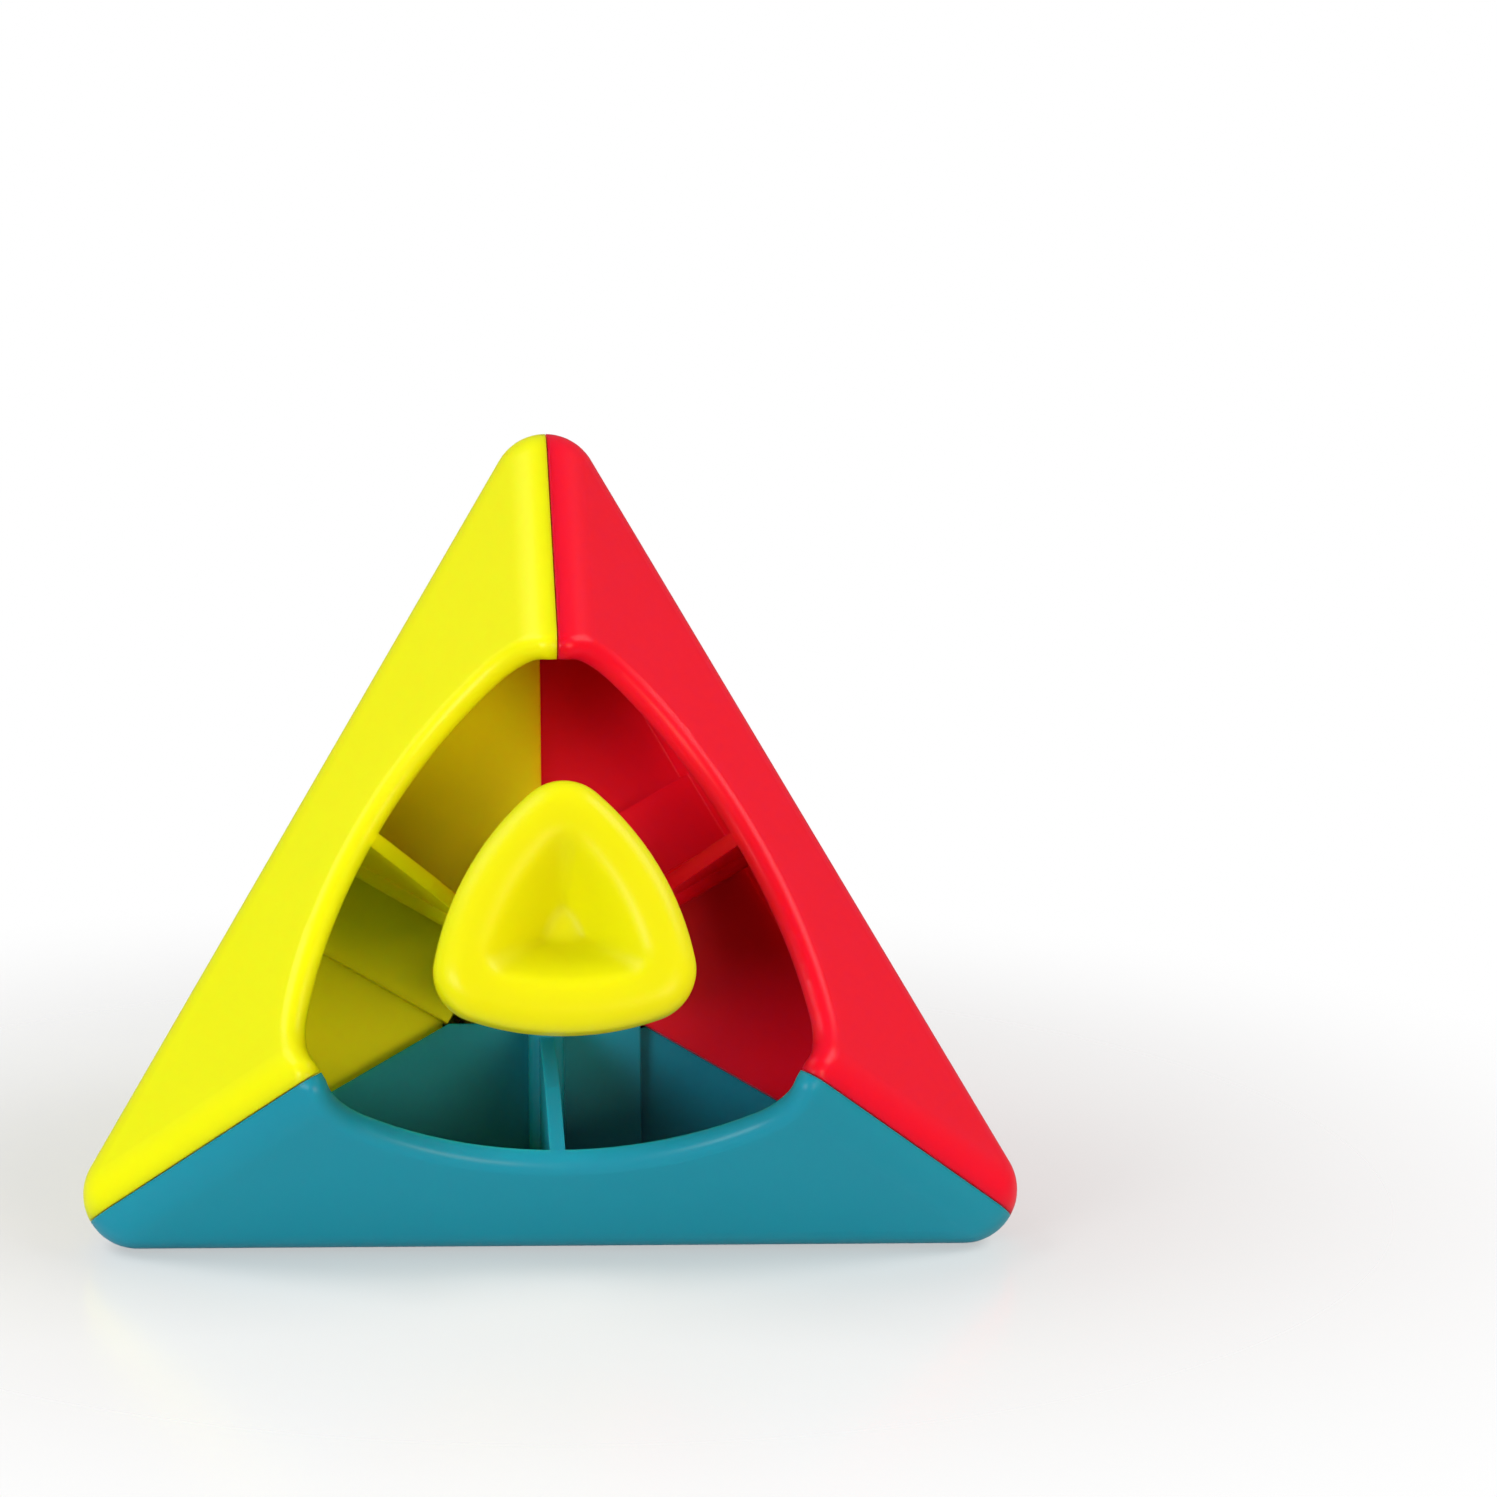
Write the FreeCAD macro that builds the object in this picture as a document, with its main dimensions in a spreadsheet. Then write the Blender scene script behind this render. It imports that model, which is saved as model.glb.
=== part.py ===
import FreeCAD, Part
import math
import os
import re
import Sketcher

# A take-apart pyramid puzzle: three identical moulded shells that interlock
# round one finned core with a dished knob.  Everything is drawn in a working
# frame whose Z axis is the puzzle's central axis, with zero at the sharp rear
# apex and +Z towards the open front.  The shell that is drawn lies on the -Y
# side.  The last step tips that frame over, so that the finished puzzle rests
# on the outer face of the blue shell, and gives each shell its own turn.

Vector = FreeCAD.Vector
Rotation = FreeCAD.Rotation
Placement = FreeCAD.Placement

SIZES = {
    # the pyramid as a whole
    "edge_length": 90.0,        # edge between two sharp corners
    "edge_rounding": 4.7,       # outer radius along every edge and corner
    "wall": 1.8,                # shell wall
    "seam_gap": 0.12,           # gap between neighbouring shells
    # the front opening
    "opening_reach": 17.8,      # axis to the lip, halfway along one shell
    "opening_radius": 31.0,     # arc in each front wall, cut square to it
    "turn_radius": 7.5,         # tighter arc that the lip ends in, near a seam
    "turn_place": 12.6,         # shell's middle to the centre of that arc
    "nose_rounding": 1.5,       # where the lip turns into the seam
    "nose_share": 0.97,         # seam to the nose's centre, in nose radii
    "lip_rounding": 1.35,       # outer edge of the lip
    # ribs inside a shell
    "plate": 1.3,               # thickness of every rib
    "stagger": 1.5,             # axial offset of the right-hand ribs
    "clearance": 0.3,           # tongue to the neighbour's floor
    "rear_frame": 30.3,         # axial place of the rear twin ribs
    "front_frame": 55.8,        # axial place of the front twin ribs
    "frame_pitch": 5.9,         # between the two ribs of a twin
    "rear_mouth": 2.5,          # axis to the top of the rear frame
    "front_mouth": 5.0,         # axis to the top of the front frame
    "rear_half": 4.0,           # half width of the rear frame's middle
    "front_half": 8.6,          # half width of the front frame's socket
    "rear_peak_x": 12.1,        # peak of the rear tongues
    "rear_peak_y": 0.0,
    "front_peak_x": 22.5,       # peak of the front tongues
    "front_peak_y": 0.7,
    "tongue_drop": 0.4,         # tongues start this far below the mouth
    "spine_low": 5.4,           # axis to the spine's top, at the rear boss
    "spine_high": 8.0,          # axis to the spine's top, behind the socket
    "spine_front": 5.7,         # axis to the spine's top, at the front boss
    "spine_knee": 11.8,         # axis to the spine's top, halfway to the lip
    "knee_place": 74.8,         # axial place of that point
    "boss_radius": 1.6,
    "rear_boss": 25.0,          # axial places of the three bosses
    "middle_boss": 50.5,
    "front_boss": 65.4,
    # the core
    "knob_front": 98.0,         # axial place of the knob's rim
    "knob_reach": 7.75,         # axis to the centres of the knob's three corners
    "knob_corner": 4.2,         # radius of those corners
    "knob_bulge": 15.5,         # axis to the centres of its three bulging sides
    "foot_reach": 0.8,          # the same three sizes where the knob meets the neck
    "foot_corner": 3.8,
    "foot_bulge": 0.8,
    "rim_fullness": 0.98,       # 1 is the knob's full section, 0 its foot
    "belly_depth": 3.0,         # below the rim, the knob is at its widest here
    "shoulder_depth": 8.0,
    "shoulder_fullness": 0.87,
    "taper_depth": 12.0,
    "taper_fullness": 0.41,
    "knob_depth": 15.0,
    "rim_rounding": 2.1,
    "pit_reach": 5.7,           # axis to the centres of the pit's three corners
    "pit_corner": 1.8,          # radius of those corners
    "pit_bulge": 17.2,          # axis to the centres of its three bulging sides
    "pit_depth": 5.2,
    "pit_floor": 0.24,          # size of the pit's bottom, as a share of its mouth
    "pit_rounding": 1.7,        # edge of the pit
    "floor_rounding": 0.8,      # round its bottom
    "neck_radius": 4.6,
    "hub_radius": 2.4,
    "hub_rear": 43.0,           # axial place of the hub's rear end
    "fin": 1.5,                 # fin thickness
    "fin_root": 73.5,           # axial place where a fin leaves the neck
    "fin_top": 71.0,            # axial place of a fin's front corner
    "fin_shoulder": 8.1,        # fin reach between the sockets
    "fin_reach": 14.1,          # fin reach between the two frames
    "fin_foot": 7.5,            # fin reach at its rear end
    "fin_step": 53.2,           # axial place of the step behind the sockets
    "fin_side": 47.0,           # axial place where the foot starts to taper
    "fin_rear": 38.8,           # axial place of the rear end
    "fin_rise": 2.5,            # how far its rear edge slopes towards the hub
    # how far cutting shapes run past the part
    "spare": 10.0,
}

SHELLS = {"blue_shell": 0.0, "red_shell": 120.0, "yellow_shell": 240.0}
TILT = math.degrees(math.acos(1.0 / 3.0))
PROFILE_PLANE = Rotation(Vector(0, -1, 0), Vector(0, 0, 1), Vector(-1, 0, 0), "XYZ")

doc = FreeCAD.newDocument("pyramid_puzzle")
sheet = doc.addObject("Spreadsheet::Sheet", "Sizes")
for row, (alias, number) in enumerate(SIZES.items(), start=1):
    sheet.set("A%d" % row, str(number))
    sheet.setAlias("A%d" % row, alias)
gauge = doc.addObject("Spreadsheet::Sheet", "Gauge")
doc.recompute()


def cells(text):
    """An expression over the sheet, from one written with bare aliases."""
    def named(match):
        word = match.group(0)
        return "Sizes." + word if word in SIZES else word
    return re.sub(r"[a-z_]+", named, text)


def worth(text):
    """The present value of an expression over the sheet, read off a spare cell."""
    gauge.set("A1", "=" + cells(text))
    gauge.recompute()
    return float(gauge.get("A1"))


def bind(thing, **expressions):
    """Bind an object's properties to the sheet (Base__z means Base.z)."""
    for path, text in expressions.items():
        thing.setExpression(path.replace("__", "."), cells(text))


# ---- sketches -------------------------------------------------------------

def add_bound(sketch, kind, *where):
    """Add one dimension to a sketch and bind it to its expression.

    After the kind come the points, a start value and the expression.
    """
    *points, start, text = where
    index = sketch.addConstraint(Sketcher.Constraint(kind, *points, start))
    sketch.setExpression("Constraints[%d]" % index, cells(text))


def draw_polygon(sketch, corners):
    """A closed outline whose corners are bound expressions.

    It starts as a regular outline, which the bound dimensions then move.
    """
    count = len(corners)
    start_radius = 30.0
    rough = []
    for i in range(count):
        turn = 2 * math.pi * i / count
        rough.append(Vector(math.cos(turn), math.sin(turn), 0) * start_radius)
    for i in range(count):
        sketch.addGeometry(Part.LineSegment(rough[i], rough[(i + 1) % count]), False)
    for i in range(count):
        following = (i + 1) % count
        sketch.addConstraint(Sketcher.Constraint("Coincident", i, 2, following, 1))
    for i, (across, along) in enumerate(corners):
        add_bound(sketch, "DistanceX", -1, 1, i, 1, rough[i].x, across)
        add_bound(sketch, "DistanceY", -1, 1, i, 1, rough[i].y, along)


def draw_circle(sketch, radius):
    """A circle round the sketch's origin."""
    start_radius = 10.0
    sketch.addGeometry(Part.Circle(Vector(), Vector(0, 0, 1), start_radius), False)
    sketch.addConstraint(Sketcher.Constraint("Coincident", 0, 3, -1, 1))
    add_bound(sketch, "Radius", 0, start_radius, radius)


def origin_feature(body, role):
    """One of the body's own planes or axes."""
    return next(f for f in body.Origin.OriginFeatures if f.Role == role)


def body_sketch(body, name, plane, offset="0"):
    """A sketch on one of the body's own planes, moved along its normal."""
    sketch = body.newObject("Sketcher::SketchObject", name)
    sketch.AttachmentSupport = [(origin_feature(body, plane), "")]
    sketch.MapMode = "FlatFace"
    bind(sketch, AttachmentOffset__Base__z=offset)
    return sketch


# ---- prisms: every rib is one of these --------------------------------------

def extrude(sketch, name, length):
    """A solid of a sketch, extruded both ways along its normal."""
    solid = doc.addObject("Part::Extrusion", name)
    solid.Base = sketch
    solid.DirMode = "Normal"
    solid.Solid = True
    solid.Symmetric = True
    bind(solid, LengthFwd=length)
    return solid


def prism(name, corners, length, rotation=None, **base):
    """A polygon drawn on a placed sketch and extruded both ways along its normal."""
    sketch = doc.addObject("Sketcher::SketchObject", name + "_outline")
    sketch.Placement = Placement(Vector(), rotation or Rotation())
    draw_polygon(sketch, corners)
    bind(sketch, **{"Placement__Base__" + axis: text for axis, text in base.items()})
    return extrude(sketch, name, length)


def cross_rib(name, corners, place):
    """A rib square to the axis, centred on an axial place."""
    return prism(name, corners, "plate", z=place)


def long_rib(name, corners, across="0"):
    """A rib along the axis: its corners are (distance from the axis, place)."""
    return prism(name, corners, "plate", PROFILE_PLANE, x=across)


def join(name, kind, parts):
    """A MultiFuse, Cut or Common of the parts."""
    result = doc.addObject("Part::" + kind, name)
    if kind == "MultiFuse":
        result.Shapes = parts
        result.Refine = True
    else:
        result.Base, result.Tool = parts
    return result


# ---- the hull ---------------------------------------------------------------

REAR_TIP = "(3 * edge_rounding)"
FRONT_TIP = "(edge_length * sqrt(1.5) - sqrt(3) * edge_rounding)"
KNEE = "((2 * " + FRONT_TIP + " + " + REAR_TIP + ") / 3)"


def make_hull_core():
    """The sharp six-sided pyramid that lies one edge rounding inside the hull.

    Its rear is a regular tetrahedron's corner and its front a cube's corner.
    """
    body = doc.addObject("PartDesign::Body", "hull_core")
    stock = body_sketch(body, "hull_stock", "XY_Plane", REAR_TIP + " - spare / 2")
    draw_circle(stock, "edge_length / 2")
    pad = body.newObject("PartDesign::Pad", "hull_pad")
    pad.Profile = stock
    bind(pad, Length=FRONT_TIP + " - " + REAR_TIP + " + spare")

    waste = body_sketch(body, "hull_waste", "YZ_Plane")
    draw_polygon(waste, [
        ("-(" + KNEE + " - " + REAR_TIP + ") / sqrt(8)", KNEE),
        ("spare / sqrt(8)", REAR_TIP + " - spare"),
        ("-edge_length", REAR_TIP + " - spare"),
        ("-edge_length", FRONT_TIP + " + spare"),
        ("spare / sqrt(2)", FRONT_TIP + " + spare"),
    ])
    cut = body.newObject("PartDesign::Pocket", "hull_faces")
    cut.Profile = waste
    cut.Type = "ThroughAll"
    cut.Midplane = True
    doc.recompute()

    pattern = body.newObject("PartDesign::PolarPattern", "hull_three_faces")
    pattern.Originals = [cut]
    pattern.Axis = (origin_feature(body, "Z_Axis"), [""])
    pattern.Angle = 360
    pattern.Occurrences = 3
    body.Tip = pattern
    return body


def grown(core, name, growth):
    """The core grown by a radius, which rounds its edges and corners by it."""
    skin = doc.addObject("Part::Offset", name)
    skin.Source = core
    skin.Join = "Arc"
    bind(skin, Value=growth)
    return skin


hull_core = make_hull_core()
outer_hull = grown(hull_core, "outer_hull", "edge_rounding")
inner_hull = grown(hull_core, "inner_hull", "edge_rounding - wall")
rooting_hull = grown(hull_core, "rooting_hull", "edge_rounding - wall / 2")
tongue_room = grown(hull_core, "tongue_room", "edge_rounding - wall - clearance")


# ---- one shell's third of the hull -------------------------------------------

def make_sector():
    """The third of space that one shell may fill, less its share of the seams."""
    tip = "-(seam_gap / sqrt(3))"
    side = "edge_length * sqrt(3) / 2"
    outline = [
        ("0", tip),
        ("-" + side, tip + " - edge_length / 2"),
        ("-" + side, "-2 * edge_length"),
        (side, "-2 * edge_length"),
        (side, tip + " - edge_length / 2"),
    ]
    return prism("sector", outline, "4 * edge_length")


def add_arc(sketch, centre, radius, first, last):
    """Add an arc, with its angles in degrees, and return its number."""
    circle = Part.Circle(centre, Vector(0, 0, 1), radius)
    sketch.addGeometry(
        Part.ArcOfCircle(circle, math.radians(first), math.radians(last)), False)
    return len(sketch.Geometry) - 1


def draw_opening(sketch):
    """One side of the front opening, in the plane of a front wall.

    The origin is the cube corner that the three front walls would meet in, the
    sketch's Y axis runs down the wall and the seams leave the origin at 45
    degrees.  A large arc is the lip.  It tightens near each seam, and a nose arc
    then turns into the seam and just crosses it, so that the lip's rounding
    stops there.

    The arcs start roughly in place, with their centres at the heights given
    here, and the constraints settle where they are.
    """
    lip_height = 2.4
    turn_height = 22.2
    nose_height = 25.1
    nose_place = 21.1
    flare = 57.6        # degrees, where the lip meets the tighter arc
    contact = 18.8      # degrees, where the tighter arc meets the nose
    seam = 45           # degrees
    edge = worth("edge_length")
    lip_radius = worth("opening_radius")
    turn_radius = worth("turn_radius")
    nose_radius = worth("nose_rounding")
    lip = add_arc(sketch, Vector(0, lip_height, 0), lip_radius, flare, 180 - flare)
    add_bound(sketch, "DistanceX", -1, 1, lip, 3, 0.0, "0")
    add_bound(sketch, "DistanceY", -1, 1, lip, 3, lip_height,
              "sqrt(3) * opening_reach + sqrt(2) * wall - opening_radius")
    add_bound(sketch, "Radius", lip, lip_radius, "opening_radius")
    ends = []
    far_corners = []
    for side in (1, -1):
        turn_centre = Vector(side * worth("turn_place"), turn_height, 0)
        nose_centre = Vector(side * nose_place, nose_height, 0)
        if side > 0:
            turn = add_arc(sketch, turn_centre, turn_radius, contact, flare)
            nose = add_arc(sketch, nose_centre, nose_radius, contact - 180, -seam)
            lip_end, turn_start, turn_end, nose_start, nose_end = 1, 2, 1, 1, 2
        else:
            turn = add_arc(sketch, turn_centre, turn_radius, 180 - flare, 180 - contact)
            nose = add_arc(sketch, nose_centre, nose_radius, 180 + seam, 360 - contact)
            lip_end, turn_start, turn_end, nose_start, nose_end = 2, 1, 2, 2, 1
        for first, first_end, second, second_end in (
                (lip, lip_end, turn, turn_start), (turn, turn_end, nose, nose_start)):
            sketch.addConstraint(
                Sketcher.Constraint("Tangent", first, first_end, second, second_end))
        add_bound(sketch, "Radius", turn, turn_radius, "turn_radius")
        add_bound(sketch, "DistanceX", -1, 1, turn, 3, turn_centre.x, "%d * turn_place" % side)
        add_bound(sketch, "Radius", nose, nose_radius, "nose_rounding")
        line = len(sketch.Geometry)
        sketch.addGeometry(Part.LineSegment(Vector(), Vector(side * edge, edge, 0)), True)
        sketch.addConstraint(Sketcher.Constraint("Coincident", line, 1, -1, 1))
        add_bound(sketch, "DistanceX", -1, 1, line, 2, side * edge, "%d * edge_length" % side)
        add_bound(sketch, "DistanceY", -1, 1, line, 2, edge, "edge_length")
        to_seam = "edge_rounding * (1 - sqrt(0.5)) + nose_share * nose_rounding"
        add_bound(sketch, "Distance", nose, 3, line, worth(to_seam), to_seam)
        add_bound(sketch, "DistanceX", nose, 3, nose, nose_end, side * nose_radius * math.sqrt(0.5),
                  "%d * nose_rounding * sqrt(0.5)" % side)
        ends.append((nose, nose_end))
        far_corners.append(Vector(side * edge / 2, -worth("spare"), 0))
    close_outline(sketch, ends, far_corners)


def close_outline(sketch, ends, far_corners):
    """Close the opening's outline past the origin, on the side to be removed."""
    right, left = far_corners
    geometry = sketch.Geometry
    points = []
    for index, end in ends:
        arc = geometry[index]
        points.append(arc.StartPoint if end == 1 else arc.EndPoint)
    first = len(geometry)
    sketch.addGeometry(Part.LineSegment(points[0], right), False)
    sketch.addGeometry(Part.LineSegment(right, left), False)
    sketch.addGeometry(Part.LineSegment(left, points[1]), False)
    sketch.addConstraint(Sketcher.Constraint("Coincident", ends[0][0], ends[0][1], first, 1))
    sketch.addConstraint(Sketcher.Constraint("Coincident", first, 2, first + 1, 1))
    sketch.addConstraint(Sketcher.Constraint("Coincident", first + 1, 2, first + 2, 1))
    sketch.addConstraint(Sketcher.Constraint("Coincident", first + 2, 2, ends[1][0], ends[1][1]))
    for line, side, corner in ((first, 1, right), (first + 1, -1, left)):
        add_bound(sketch, "DistanceX", -1, 1, line, 2, corner.x, "%d * edge_length / 2" % side)
        add_bound(sketch, "DistanceY", -1, 1, line, 2, corner.y, "-spare")


def make_opening_tool():
    """What the opening removes: its outline, pushed square through a front wall."""
    slope = Rotation(Vector(1, 0, 0), Vector(0, -math.sqrt(1 / 3), -math.sqrt(2 / 3)),
                     Vector(0, math.sqrt(2 / 3), -math.sqrt(1 / 3)), "XYZ")
    sketch = doc.addObject("Sketcher::SketchObject", "opening_outline")
    sketch.Placement = Placement(Vector(), slope)
    bind(sketch, Placement__Base__z="edge_length * sqrt(1.5)")
    draw_opening(sketch)
    return extrude(sketch, "opening_tool", "2 * spare")


def make_blank(open_third):
    """The open third of the walls, with the outer edge of its lip rounded.

    That edge is the frontmost of the long arcs.
    """
    body = doc.addObject("PartDesign::Body", "shell_blank")
    body.BaseFeature = open_third
    doc.recompute()
    base = body.Group[0]
    highest = 0.0
    lip = None
    for number, edge in enumerate(base.Shape.Edges, start=1):
        is_arc = isinstance(edge.Curve, Part.Circle) and edge.Length > sheet.get("opening_radius")
        if is_arc and edge.BoundBox.ZMax > highest:
            highest = edge.BoundBox.ZMax
            lip = number
    rim = body.newObject("PartDesign::Fillet", "lip_fillet")
    rim.Base = (base, ["Edge%d" % lip])
    bind(rim, Radius="lip_rounding")
    doc.recompute()
    return body


# ---- ribs -------------------------------------------------------------------

def mirrored(corners, side):
    """The corners as they are for side 1, and left for right for side -1."""
    return [("%d * (%s)" % (side, across), along) for across, along in corners]


def straight_rib(name, half, mouth, place, side):
    """A rib that stays in its own shell: its top lies along the seam."""
    corners = [
        (half + " - plate", "-" + mouth),
        ("edge_length", "-" + mouth),
        ("edge_length", "-edge_length"),
        (half + " - plate", "-edge_length"),
    ]
    return cross_rib(name, mirrored(corners, side), place)


def tongue_rib(name, half, mouth, peak, place, side):
    """A rib whose peak reaches across the seam into the neighbour."""
    corners = [
        (half + " - plate", "-" + mouth),
        (half, "-(" + mouth + " + tongue_drop)"),
        (peak + "_x", peak + "_y"),
        ("edge_length", peak + "_y"),
        ("edge_length", "-edge_length"),
        (half + " - plate", "-edge_length"),
    ]
    return cross_rib(name, mirrored(corners, side), place)


def centre_rib(name, half, mouth, place):
    """The middle of a twin rib, across the spine."""
    corners = [
        ("-" + half, "-" + mouth),
        (half, "-" + mouth),
        (half, "-edge_length"),
        ("-" + half, "-edge_length"),
    ]
    return cross_rib(name, corners, place)


def side_wall(name, half, mouth, rear, front, side):
    """A wall along the axis that closes a pair of twin ribs."""
    corners = [
        (mouth, rear + " - plate / 2"),
        ("edge_length", rear + " - plate / 2"),
        ("edge_length", front + " + plate / 2"),
        (mouth, front + " + plate / 2"),
    ]
    return long_rib(name, corners, "%d * (%s - plate / 2)" % (side, half))


def make_rear_frame():
    """Twin ribs near the apex, open in front of the spine."""
    half, mouth, peak = "rear_half", "rear_mouth", "rear_peak"
    back = "rear_frame"
    front = "rear_frame + frame_pitch"
    plain = [
        centre_rib("rear_centre", half, mouth, back),
        side_wall("rear_cap_left", half, mouth, back, front, -1),
        side_wall("rear_cap_right", half, mouth, back, front + " + stagger", 1),
        straight_rib("rear_back_left", half, mouth, back, -1),
        straight_rib("rear_front_right", half, mouth, front + " + stagger", 1),
    ]
    tongues = [
        tongue_rib("rear_tongue_left", half, mouth, peak, front, -1),
        tongue_rib("rear_tongue_right", half, mouth, peak, back + " + stagger", 1),
    ]
    return plain, tongues


def make_front_frame():
    """Twin ribs near the opening, closed into a rectangular socket."""
    half, mouth, peak = "front_half", "front_mouth", "front_peak"
    back = "front_frame"
    front = "front_frame + frame_pitch"
    plain = [
        centre_rib("socket_back", half, mouth, back),
        centre_rib("socket_front", half, mouth, front),
        side_wall("socket_left", half, mouth, back, front, -1),
        side_wall("socket_right", half, mouth, back + " - stagger", front, 1),
        straight_rib("front_front_left", half, mouth, front, -1),
        straight_rib("front_back_right", half, mouth, back + " - stagger", 1),
    ]
    tongues = [
        tongue_rib("front_tongue_left", half, mouth, peak, back, -1),
        tongue_rib("front_tongue_right", half, mouth, peak, front + " - stagger", 1),
    ]
    return plain, tongues


LIP_PLACE = "(edge_length * sqrt(1.5) - sqrt(3) * wall - sqrt(2) * opening_reach)"


def make_spine():
    """The thin rib down the middle of a shell, and its three round bosses."""
    socket_face = "(front_frame + frame_pitch)"
    rear_part = long_rib("spine_rear_part", [
        ("spine_low / 2", "rear_boss / 2"),
        ("spine_low", "rear_boss"),
        ("spine_high", "front_frame"),
        ("edge_length", "front_frame"),
        ("edge_length", "rear_boss / 2"),
    ])
    front_part = long_rib("spine_front_part", [
        ("spine_front", socket_face),
        ("spine_front", "front_boss"),
        ("spine_knee", "knee_place"),
        ("opening_reach", LIP_PLACE),
        ("edge_length", LIP_PLACE),
        ("edge_length", socket_face),
    ])
    rise = "(spine_high - spine_low) / (front_frame - rear_boss)"
    tops = {
        "rear_boss": "spine_low",
        "middle_boss": "spine_low + (middle_boss - rear_boss) * " + rise,
        "front_boss": "spine_front",
    }
    parts = [rear_part, front_part]
    for place, top in tops.items():
        boss = doc.addObject("Part::Cylinder", place + "_post")
        boss.Placement = Placement(Vector(), Rotation(Vector(1, 0, 0), 90))
        bind(boss, Radius="boss_radius", Height="edge_length",
             Placement__Base__y="-(" + top + ")", Placement__Base__z=place)
        parts.append(boss)
    return parts


# ---- the core -----------------------------------------------------------------

def draw_rounded_triangle(sketch, reach, corner, bulge):
    """Three corner arcs joined by three bulging sides, one corner towards +Y.

    reach is from the axis to the corners' centres, corner is their radius and
    bulge is from the axis to the centres of the large side arcs.
    """
    reach_now = worth(reach)
    corner_now = worth(corner)
    bulge_now = worth(bulge)
    across = reach_now * math.sqrt(0.75)
    along = bulge_now + reach_now / 2
    side_now = corner_now + math.hypot(across, along)
    side_half = math.atan2(across, along)
    corner_half = math.radians(60) - side_half
    for k in range(3):
        turn = math.radians(90 + 120 * k)
        centre = Vector(math.cos(turn), math.sin(turn), 0) * reach_now
        sketch.addGeometry(Part.ArcOfCircle(
            Part.Circle(centre, Vector(0, 0, 1), corner_now),
            turn - corner_half, turn + corner_half), False)
        turn = math.radians(150 + 120 * k)
        centre = Vector(math.cos(turn), math.sin(turn), 0) * -bulge_now
        sketch.addGeometry(Part.ArcOfCircle(
            Part.Circle(centre, Vector(0, 0, 1), side_now),
            turn - side_half, turn + side_half), False)
    for k in range(3):
        angle = 90 + 120 * k
        corner_arc = 2 * k
        side_arc = 2 * k + 1
        following = (2 * k + 2) % 6
        sketch.addConstraint(Sketcher.Constraint("Tangent", corner_arc, 2, side_arc, 1))
        sketch.addConstraint(Sketcher.Constraint("Tangent", side_arc, 2, following, 1))
        add_bound(sketch, "DistanceX", -1, 1, corner_arc, 3,
                  reach_now * math.cos(math.radians(angle)), "%s * cos(%d deg)" % (reach, angle))
        add_bound(sketch, "DistanceY", -1, 1, corner_arc, 3,
                  reach_now * math.sin(math.radians(angle)), "%s * sin(%d deg)" % (reach, angle))
        add_bound(sketch, "Radius", corner_arc, corner_now, corner)
        add_bound(sketch, "Distance", -1, 1, side_arc, 3, bulge_now, bulge)


def knob_section(body, name, depth, fullness):
    """One section of the knob, at a depth below the rim."""
    sketch = body_sketch(body, name, "XY_Plane", "knob_front - " + depth)
    sizes = ["(%s * knob_%s + (1 - %s) * foot_%s)" % (fullness, word, fullness, word)
             for word in ("reach", "corner", "bulge")]
    draw_rounded_triangle(sketch, *sizes)
    return sketch


NEAR = 0.01     # mm, closer than this counts as level


def inside_pit(box):
    """True for edges nearer the axis than the centres of the knob's corners."""
    return math.hypot(box.Center.x, box.Center.y) < sheet.get("knob_reach")


def round_edges(body, base, name, radius, wanted):
    """Fillet the edges of a feature whose bounding boxes are wanted."""
    fillet = body.newObject("PartDesign::Fillet", name)
    edges = ["Edge%d" % number for number, edge in enumerate(base.Shape.Edges, start=1)
             if wanted(edge.BoundBox)]
    fillet.Base = (base, edges)
    bind(fillet, Radius=radius)
    body.Tip = fillet
    doc.recompute()
    return fillet


def add_hub(body):
    """The round hub inside and the stouter neck in front of it."""
    outline = body_sketch(body, "hub_outline", "XZ_Plane")
    draw_polygon(outline, [
        ("0", "hub_rear"),
        ("hub_radius", "hub_rear"),
        ("hub_radius", "fin_top - 3 * hub_radius"),
        ("neck_radius", "fin_root"),
        ("neck_radius", "knob_front - taper_depth"),
        ("0", "knob_front - taper_depth"),
    ])
    hub = body.newObject("PartDesign::Revolution", "hub")
    hub.Profile = outline
    hub.ReferenceAxis = (outline, ["V_Axis"])
    hub.Angle = 360
    body.Tip = hub


def add_fins(body):
    """Three flat fins, one in each plane where two shells meet."""
    outline = body_sketch(body, "fin_outline", "YZ_Plane")
    draw_polygon(outline, [
        ("0", "fin_rear + fin_rise"),
        ("fin_foot", "fin_rear"),
        ("fin_reach", "fin_side"),
        ("fin_reach", "fin_step"),
        ("fin_shoulder", "fin_step"),
        ("fin_shoulder", "fin_top"),
        ("neck_radius - fin / 2", "fin_root"),
        ("0", "fin_root"),
    ])
    fin = body.newObject("PartDesign::Pad", "one_fin")
    fin.Profile = outline
    fin.Midplane = True
    bind(fin, Length="fin")
    body.Tip = fin
    doc.recompute()
    fins = body.newObject("PartDesign::PolarPattern", "three_fins")
    fins.Originals = [fin]
    fins.Axis = (origin_feature(body, "Z_Axis"), [""])
    fins.Angle = 360
    fins.Occurrences = 3
    body.Tip = fins


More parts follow.
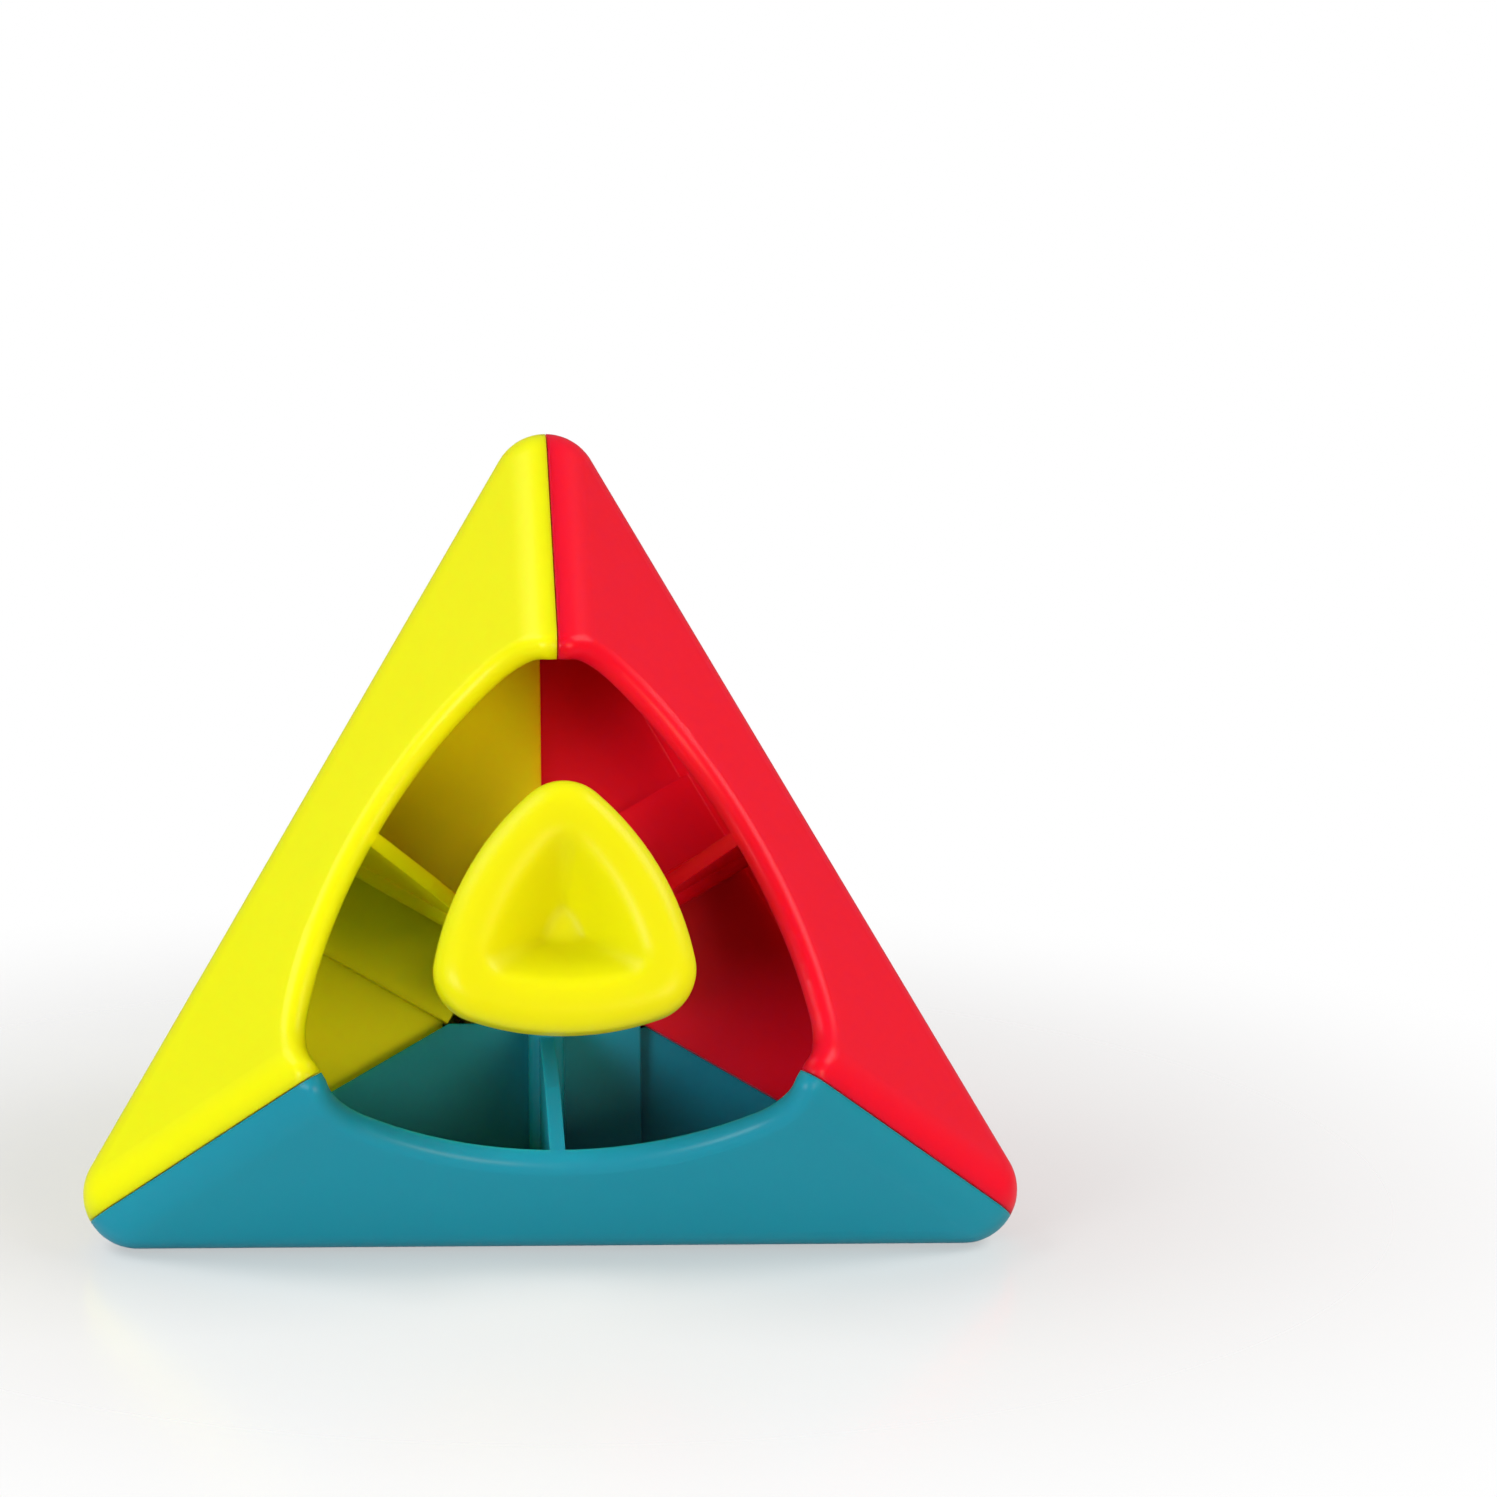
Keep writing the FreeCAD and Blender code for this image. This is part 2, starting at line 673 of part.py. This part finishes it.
def add_knob(body):
    """The three-cornered knob, lofted from its rim back to the neck."""
    sections = [
        knob_section(body, "knob_rim", "0", "rim_fullness"),
        knob_section(body, "knob_belly", "belly_depth", "1"),
        knob_section(body, "knob_shoulder", "shoulder_depth", "shoulder_fullness"),
        knob_section(body, "knob_taper", "taper_depth", "taper_fullness"),
        knob_section(body, "knob_foot", "knob_depth", "0"),
    ]
    knob = body.newObject("PartDesign::AdditiveLoft", "knob")
    knob.Profile = sections[0]
    knob.Sections = sections[1:]
    body.Tip = knob
    doc.recompute()
    front = sheet.get("knob_front")
    round_edges(body, knob, "rim_fillet", "rim_rounding",
                lambda box: box.ZMin > front - NEAR)


def add_pit(body):
    """The dish in the knob's front: a tapering pit with soft edges."""
    mouth = body_sketch(body, "pit_mouth", "XY_Plane", "knob_front")
    draw_rounded_triangle(mouth, "pit_reach", "pit_corner", "pit_bulge")
    floor = body_sketch(body, "pit_bottom", "XY_Plane", "knob_front - pit_depth")
    draw_rounded_triangle(floor, "(pit_floor * pit_reach)", "(pit_floor * pit_corner)",
                          "(pit_floor * pit_bulge)")
    pit = body.newObject("PartDesign::SubtractiveLoft", "pit")
    pit.Profile = mouth
    pit.Sections = [floor]
    body.Tip = pit
    doc.recompute()
    front = sheet.get("knob_front")
    edge = round_edges(body, pit, "pit_fillet", "pit_rounding",
                       lambda box: box.ZMin > front - NEAR and inside_pit(box))
    bottom = front - sheet.get("pit_depth")
    round_edges(body, edge, "floor_fillet", "floor_rounding",
                lambda box: box.ZMax < bottom + NEAR and box.ZMin > bottom - NEAR)


def make_core():
    body = doc.addObject("PartDesign::Body", "finned_core")
    add_hub(body)
    add_fins(body)
    add_knob(body)
    add_pit(body)
    return body


# ---- assembly of a shell ------------------------------------------------------

sector = make_sector()
walls = join("hull_walls", "Cut", [outer_hull, inner_hull])
third = join("third_of_walls", "Common", [walls, sector])
open_third = join("open_third", "Cut", [third, make_opening_tool()])
blank = make_blank(open_third)

rear_plain, rear_tongues = make_rear_frame()
front_plain, front_tongues = make_front_frame()
tongues = join("all_tongues", "MultiFuse", rear_tongues + front_tongues)
ribs = join("all_ribs", "MultiFuse", rear_plain + front_plain + make_spine() + [tongues])
own_room = join("own_room", "Common", [rooting_hull, sector])
own_ribs = join("own_ribs", "Common", [ribs, own_room])
free_tongues = join("free_tongues", "Common", [tongues, tongue_room])
core = make_core()

# ---- the finished puzzle ------------------------------------------------------

nodes = {}
for label in SHELLS:
    nodes[label] = join(label, "MultiFuse", [blank, own_ribs, free_tongues])
    nodes[label].Label = label
nodes["finned_core"] = core
turns = dict(SHELLS, finned_core=0.0)


def set_down(shift):
    """Tip every node over on to the blue shell's face and slide all by shift."""
    tipped = Rotation(Vector(1, 0, 0), TILT)
    for label, node in nodes.items():
        turned = Rotation(Vector(0, 0, 1), turns[label])
        node.Placement = Placement(shift, tipped.multiply(turned))
    doc.recompute()


def check():
    """Stop unless every object computed and every node is one sound solid."""
    for thing in doc.Objects:
        if "Invalid" in thing.State or "Error" in thing.State:
            raise RuntimeError(thing.Name + " did not compute: " + str(thing.State))
    for label, node in nodes.items():
        shape = node.Shape
        if shape.isNull() or not shape.isValid() or len(shape.Solids) != 1:
            raise RuntimeError(label + " is not one valid solid")


set_down(Vector())
check()
overall = FreeCAD.BoundBox()
for node in nodes.values():
    overall.add(node.Shape.optimalBoundingBox(True, False))
set_down(Vector(0, -overall.Center.y, 0))
check()

os.makedirs("parts", exist_ok=True)
for label, node in nodes.items():
    node.Shape.exportStep("parts/" + label + ".step")
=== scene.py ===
import math

import bpy
from mathutils import Matrix, Vector


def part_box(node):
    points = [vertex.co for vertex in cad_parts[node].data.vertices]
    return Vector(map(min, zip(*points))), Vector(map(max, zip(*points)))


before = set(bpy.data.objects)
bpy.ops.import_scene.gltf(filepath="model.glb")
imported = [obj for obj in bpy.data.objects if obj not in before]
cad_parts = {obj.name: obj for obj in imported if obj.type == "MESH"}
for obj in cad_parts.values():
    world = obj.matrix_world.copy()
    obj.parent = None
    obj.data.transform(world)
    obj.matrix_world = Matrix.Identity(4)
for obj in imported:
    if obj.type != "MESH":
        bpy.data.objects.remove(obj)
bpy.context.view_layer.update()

# ---- plastics -----------------------------------------------------------------

# colour: linear base colour, and deep: what it turns to in faint clouds
# roughness: the plain value, before GLOSS_RANGE is added
# glow: how far red, green and blue light spread inside, next to each other
# softness: radius of the rounding that the shading gives its edges, in metres
PLASTICS = {
    "yellow_shell": {
        "colour": (0.88, 0.865, 0.002), "deep": (0.83, 0.81, 0.001),
        "roughness": 0.34, "glow": (1.0, 0.7, 0.02), "softness": 0.00025,
    },
    "red_shell": {
        "colour": (0.89, 0.004, 0.026), "deep": (0.84, 0.003, 0.018),
        "roughness": 0.34, "glow": (1.0, 0.02, 0.02), "softness": 0.00025,
    },
    "blue_shell": {
        "colour": (0.013, 0.29, 0.42), "deep": (0.009, 0.25, 0.38),
        "roughness": 0.34, "glow": (0.02, 0.5, 0.6), "softness": 0.00025,
    },
    "finned_core": {
        "colour": (0.75, 0.76, 0.004), "deep": (0.72, 0.72, 0.002),
        "roughness": 0.30, "glow": (1.0, 0.8, 0.02), "softness": 0.0012,
    },
}

PLASTIC = {
    "IOR": 1.5,
    "Specular IOR Level": 0.14,
    "Coat Weight": 0.03,
    "Coat Roughness": 0.14,
    "Subsurface Weight": 0.8,
    "Subsurface Scale": 0.004,
}

# patterns of noise: scale, detail, roughness
CLOUDS = (42.0, 3.0, 0.55)
SMEARS = (95.0, 4.0, 0.6)
GRAIN = (900.0, 2.0, 0.5)

CLOUD_LOW = 0.35            # noise up to here is the plain colour
CLOUD_HIGH = 0.75           # and from here on it is as cloudy as it gets
CLOUDINESS = 0.22           # the deep colour's largest share
GLOSS_RANGE = (-0.05, 0.07)     # added to the roughness across the smears
GRAIN_DEPTH = 0.0001        # metres
GRAIN_STRENGTH = 0.05


def add_node(tree, kind, **inputs):
    """A new node with its inputs set (From_Min means From Min)."""
    made = tree.nodes.new(kind)
    for name, value in inputs.items():
        made.inputs[name.replace("_", " ")].default_value = value
    return made


def add_noise(tree, pattern):
    """Noise over the piece's own coordinates."""
    scale, detail, roughness = pattern
    noise = add_node(tree, "ShaderNodeTexNoise", Scale=scale, Detail=detail, Roughness=roughness)
    where = tree.nodes.new("ShaderNodeTexCoord")
    tree.links.new(where.outputs["Object"], noise.inputs["Vector"])
    return noise


def cloud_colour(tree, shader, colour, deep):
    """Faint clouds of a deeper tone, as in thick and thin plastic."""
    clouds = add_noise(tree, CLOUDS)
    share = add_node(tree, "ShaderNodeMapRange", From_Min=CLOUD_LOW, From_Max=CLOUD_HIGH,
                     To_Max=CLOUDINESS)
    tree.links.new(clouds.outputs["Fac"], share.inputs["Value"])
    tone = tree.nodes.new("ShaderNodeMix")
    tone.data_type = "RGBA"
    tone.inputs["A"].default_value = (*colour, 1.0)
    tone.inputs["B"].default_value = (*deep, 1.0)
    tree.links.new(share.outputs["Result"], tone.inputs["Factor"])
    tree.links.new(tone.outputs["Result"], shader.inputs["Base Color"])


def mottle_gloss(tree, shader, roughness):
    """Handling leaves some patches glossier than others."""
    smears = add_noise(tree, SMEARS)
    low, high = GLOSS_RANGE
    gloss = add_node(tree, "ShaderNodeMapRange", To_Min=roughness + low, To_Max=roughness + high)
    tree.links.new(smears.outputs["Fac"], gloss.inputs["Value"])
    tree.links.new(gloss.outputs["Result"], shader.inputs["Roughness"])


def soften_surface(tree, shader, softness):
    """Softly rounded edges and a very fine moulded grain."""
    edges = add_node(tree, "ShaderNodeBevel", Radius=softness)
    grain = add_noise(tree, GRAIN)
    bump = add_node(tree, "ShaderNodeBump", Strength=GRAIN_STRENGTH, Distance=GRAIN_DEPTH)
    tree.links.new(edges.outputs["Normal"], bump.inputs["Normal"])
    tree.links.new(grain.outputs["Fac"], bump.inputs["Height"])
    tree.links.new(bump.outputs["Normal"], shader.inputs["Normal"])


def moulded_plastic(name, colour, deep, roughness, glow, softness):
    """A glossy plastic that light sinks into a little way."""
    material = bpy.data.materials.new(name)
    material.use_nodes = True
    tree = material.node_tree
    shader = tree.nodes["Principled BSDF"]
    for socket, value in PLASTIC.items():
        shader.inputs[socket].default_value = value
    shader.inputs["Subsurface Radius"].default_value = glow
    cloud_colour(tree, shader, colour, deep)
    mottle_gloss(tree, shader, roughness)
    soften_surface(tree, shader, softness)
    return material


for piece, look in PLASTICS.items():
    plastic = moulded_plastic(piece.replace("_", " ") + " plastic", **look)
    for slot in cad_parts[piece].material_slots:
        slot.material = plastic

# ---- where the puzzle is --------------------------------------------------------

EDGE = 0.090                # between two sharp corners
EDGE_ROUNDING = 0.0047

# a ball of that radius rounds the rear apex, with its middle three radii inside it
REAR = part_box("red_shell")[1].y
APEX = Vector((0.0, REAR + EDGE_ROUNDING * (math.sqrt(8.0) - 1.0), 0.0))
AXIS = Vector((0.0, -math.sqrt(8.0) / 3.0, 1.0 / 3.0))
AIM = APEX + AXIS * EDGE * math.sqrt(2.0 / 3.0)     # the middle of its widest section

# ---- floor and backdrop ---------------------------------------------------------

FLOOR_SIZE = 1.2            # metres
FLOOR_CELLS = 8             # along each side
FLOOR_COLOUR = (0.97, 0.96, 0.955, 1.0)
FLOOR_ROUGHNESS = 0.22
FLOOR_SPECULAR = 0.6
FLOOR_SHARE = 0.56          # the rest of it is backdrop, seen through the floor
FLOOR_SOLID = 0.045         # metres out, where the floor starts to fade
FLOOR_END = 0.120           # and where it has faded into the backdrop
FILL = 0.21                 # strength of the backdrop as a light
WHITE = (1.0, 1.0, 1.0)


def add_floor():
    """A pale, slightly glossy floor that fades into the backdrop."""
    bpy.ops.mesh.primitive_grid_add(size=FLOOR_SIZE, x_subdivisions=FLOOR_CELLS,
                                    y_subdivisions=FLOOR_CELLS)
    floor = bpy.context.object
    floor.name = "floor"
    material = bpy.data.materials.new("pale floor")
    material.use_nodes = True
    tree = material.node_tree
    shader = tree.nodes["Principled BSDF"]
    shader.inputs["Base Color"].default_value = FLOOR_COLOUR
    shader.inputs["Roughness"].default_value = FLOOR_ROUGHNESS
    shader.inputs["Specular IOR Level"].default_value = FLOOR_SPECULAR
    where = tree.nodes.new("ShaderNodeTexCoord")
    reach = tree.nodes.new("ShaderNodeVectorMath")
    reach.operation = "LENGTH"
    tree.links.new(where.outputs["Object"], reach.inputs[0])
    fade = add_node(tree, "ShaderNodeMapRange", From_Min=FLOOR_SOLID, From_Max=FLOOR_END,
                    To_Min=FLOOR_SHARE, To_Max=0.0)
    fade.interpolation_type = "SMOOTHSTEP"
    tree.links.new(reach.outputs["Value"], fade.inputs["Value"])
    tree.links.new(fade.outputs["Result"], shader.inputs["Alpha"])
    floor.data.materials.append(material)


def add_backdrop():
    """White to look at, but only a dim fill as a light."""
    world = bpy.data.worlds.new("studio")
    world.use_nodes = True
    tree = world.node_tree
    seen = tree.nodes.new("ShaderNodeLightPath")
    strength = add_node(tree, "ShaderNodeMapRange", To_Min=FILL, To_Max=1.0)
    tree.links.new(seen.outputs["Is Camera Ray"], strength.inputs["Value"])
    background = tree.nodes["Background"]
    background.inputs["Color"].default_value = (*WHITE, 1.0)
    tree.links.new(strength.outputs["Result"], background.inputs["Strength"])
    bpy.context.scene.world = world


# ---- lights -----------------------------------------------------------------------

WARM = (1.0, 0.74, 0.50)

# name, place, width and height, watts, colour
LIGHTS = [
    ("key", (-0.54, -0.70, 0.14), (0.36, 0.26), 3.8, WHITE),
    ("right", (0.60, -0.08, 0.56), (0.45, 0.45), 3.4, WHITE),
    ("left", (-0.50, 0.02, 0.60), (0.45, 0.45), 2.8, WHITE),
    ("front", (0.34, -0.80, 0.09), (0.36, 0.24), 3.6, WARM),
]


def add_light(name, place, size, power, colour):
    """A soft rectangular lamp that points at the puzzle."""
    lamp = bpy.data.lights.new(name, "AREA")
    lamp.shape = "RECTANGLE"
    lamp.size, lamp.size_y = size
    lamp.energy = power
    lamp.color = colour
    holder = bpy.data.objects.new(name, lamp)
    holder.location = place
    holder.rotation_euler = (AIM - Vector(place)).to_track_quat("-Z", "Y").to_euler()
    bpy.context.collection.objects.link(holder)


# ---- camera -----------------------------------------------------------------------

AZIMUTH = math.radians(-3.2)
ELEVATION = math.radians(13.0)
ROLL = math.radians(0.5)
DISTANCE = 0.450            # metres
FOCAL_LENGTH = 124.1        # mm
SENSOR = 36.0               # mm
SHIFT = (0.1324, 0.1370)    # the puzzle stands left of the middle and below it
CLIP_START = 0.01           # metres


def add_camera():
    """A long lens that looks down a little at the open face."""
    forward = Vector((-math.sin(AZIMUTH) * math.cos(ELEVATION),
                      math.cos(AZIMUTH) * math.cos(ELEVATION),
                      -math.sin(ELEVATION)))
    lens = bpy.data.cameras.new("camera")
    lens.sensor_width = SENSOR
    lens.lens = FOCAL_LENGTH
    lens.shift_x, lens.shift_y = SHIFT
    lens.clip_start = CLIP_START
    camera = bpy.data.objects.new("camera", lens)
    turn = forward.to_track_quat("-Z", "Y").to_matrix() @ Matrix.Rotation(ROLL, 3, "Z")
    camera.matrix_world = Matrix.Translation(AIM - forward * DISTANCE) @ turn.to_4x4()
    bpy.context.collection.objects.link(camera)
    bpy.context.scene.camera = camera


add_floor()
add_backdrop()
for light in LIGHTS:
    add_light(*light)
add_camera()
bpy.context.scene.view_settings.view_transform = "Standard"
